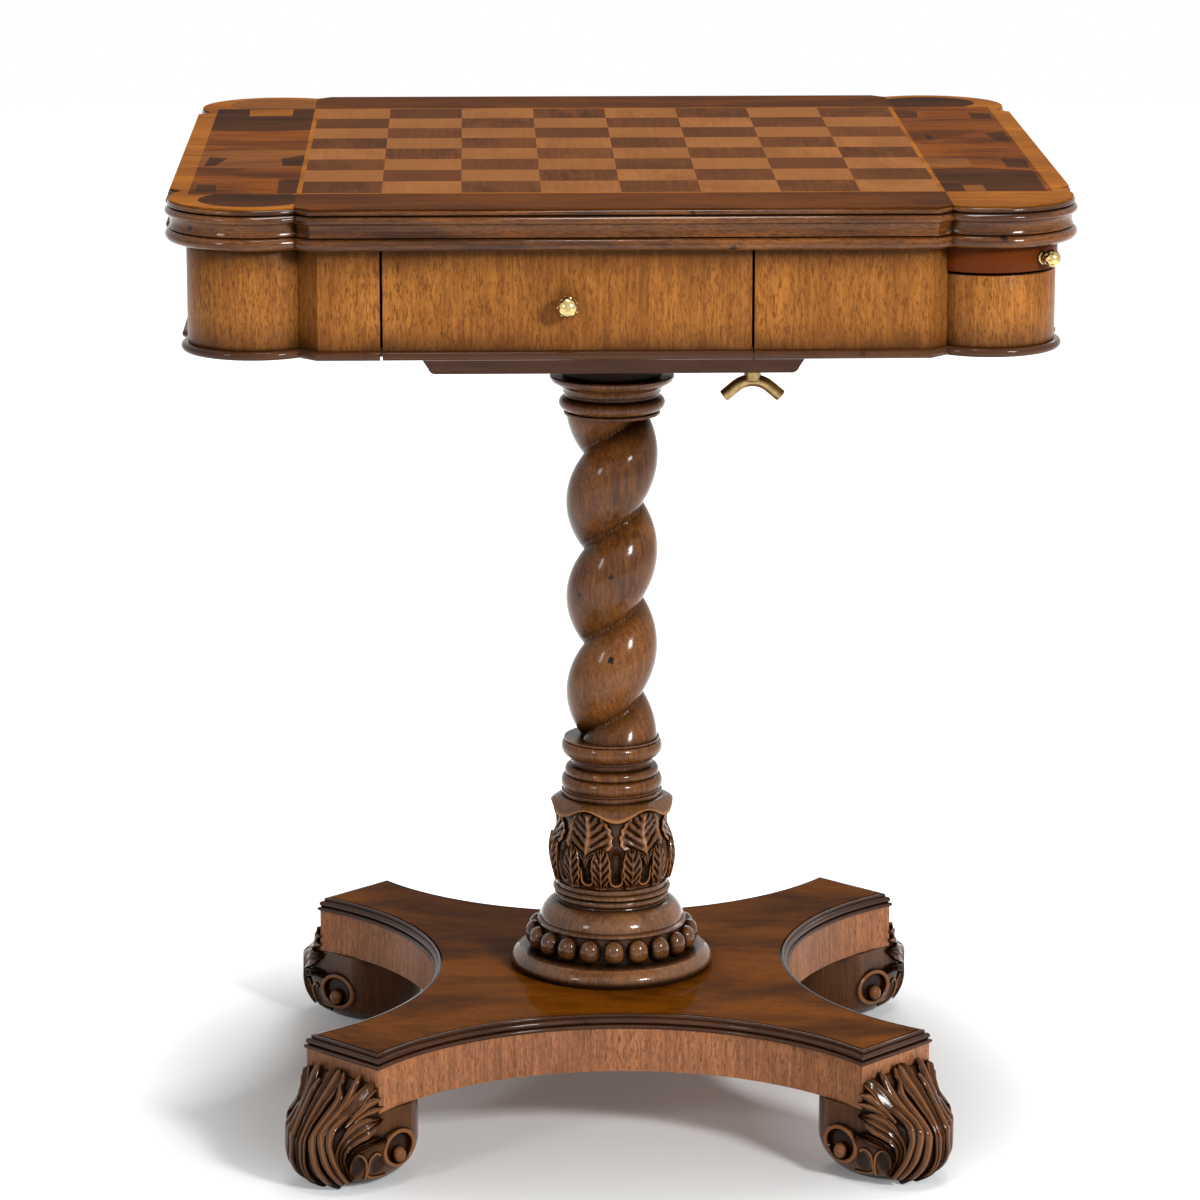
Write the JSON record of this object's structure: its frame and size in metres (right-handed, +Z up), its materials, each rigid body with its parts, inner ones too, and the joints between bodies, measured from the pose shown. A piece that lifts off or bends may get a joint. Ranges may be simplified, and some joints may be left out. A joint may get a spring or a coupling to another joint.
{
  "type": "pedestal chess table",
  "caption": "Pedestal games table with an inlaid chess board, drawers front and back, corner pull-out trays and a barley-twist column on scroll feet.",
  "frame": {"origin": "on the floor under the middle of the top", "axes": "+Z up, -Y towards the front drawer, +X towards the side with the front tray and the wing bolt"},
  "size_m": [0.654, 0.627, 0.75],
  "materials": {
    "case_walnut": "satin, vertical grain",
    "dark_moulding": "polished",
    "dark_veneer": "polished",
    "light_veneer": "polished",
    "light_line": "polished",
    "burr_veneer": "polished",
    "inner_wood": "plain",
    "turned_walnut": "polished",
    "carved_walnut": "polished",
    "platform_walnut": "satin",
    "tray_walnut": "polished",
    "brass": "polished",
    "steel": "bright"
  },
  "bodies": {
    "table": {"top_board": "inner_wood", "edge_moulding": "dark_moulding", "dark_squares": "dark_veneer", "light_squares": "light_veneer", "board_stringing": "light_line", "border_strips": "dark_veneer", "side_panels": "burr_veneer", "crossbanding": "light_line", "corner_panels": "burr_veneer", "front_panel_left": "case_walnut", "front_panel_right": "case_walnut", "back_panel_left": "case_walnut", "back_panel_right": "case_walnut", "left_panel": "case_walnut", "right_panel": "case_walnut", "front_left_turret": "case_walnut", "front_right_turret": "case_walnut", "back_left_turret": "case_walnut", "back_right_turret": "case_walnut", "base_bead": "dark_moulding", "bottom_board": "inner_wood", "centre_rail": "inner_wood", "drawer_runners": "inner_wood", "drawer_kickers": "inner_wood", "tray_cradles": "inner_wood", "bearer": "dark_moulding", "bearer_screws": "steel", "wing_insert": "brass", "capital": "turned_walnut", "twist_shaft": "turned_walnut", "turned_collar": "turned_walnut", "leaf_vase": "carved_walnut", "beaded_foot": "carved_walnut", "tie_rod": "steel", "tie_nuts": "steel", "tie_washers": "steel", "platform": "platform_walnut", "platform_top": "platform_walnut", "front_left_foot": "carved_walnut", "front_right_foot": "carved_walnut", "back_left_foot": "carved_walnut", "back_right_foot": "carved_walnut", "foot_dowels": "inner_wood"},
    "front_drawer": {"front_drawer_face": "case_walnut", "front_drawer_bead": "dark_moulding", "front_drawer_sides": "inner_wood", "front_drawer_rear": "inner_wood", "front_drawer_bottom": "inner_wood", "front_drawer_knob": "brass"},
    "back_drawer": {"back_drawer_face": "case_walnut", "back_drawer_bead": "dark_moulding", "back_drawer_sides": "inner_wood", "back_drawer_rear": "inner_wood", "back_drawer_bottom": "inner_wood", "back_drawer_knob": "brass"},
    "front_tray": {"front_tray": "tray_walnut", "front_tray_knob": "brass"},
    "back_tray": {"back_tray": "tray_walnut", "back_tray_knob": "brass"},
    "wing_bolt": {"wing_bolt": "brass"}
  },
  "joints": [
    {"name": "front_drawer_slide", "type": "slide", "parent": "table", "child": "front_drawer", "axis": [0, -1, 0], "range_m": [0, 0.19]},
    {"name": "back_drawer_slide", "type": "slide", "parent": "table", "child": "back_drawer", "axis": [0, 1, 0], "range_m": [0, 0.19]},
    {"name": "front_tray_slide", "type": "slide", "parent": "table", "child": "front_tray", "axis": [0.7071, -0.7071, 0], "range_m": [0, 0.09]},
    {"name": "back_tray_slide", "type": "slide", "parent": "table", "child": "back_tray", "axis": [-0.7071, 0.7071, 0], "range_m": [0, 0.09]},
    {"name": "wing_bolt_turn", "type": "hinge", "parent": "table", "child": "wing_bolt", "pos_m": [0.108, 0, 0.57], "axis": [0, 0, 1], "continuous": true}
  ]
}
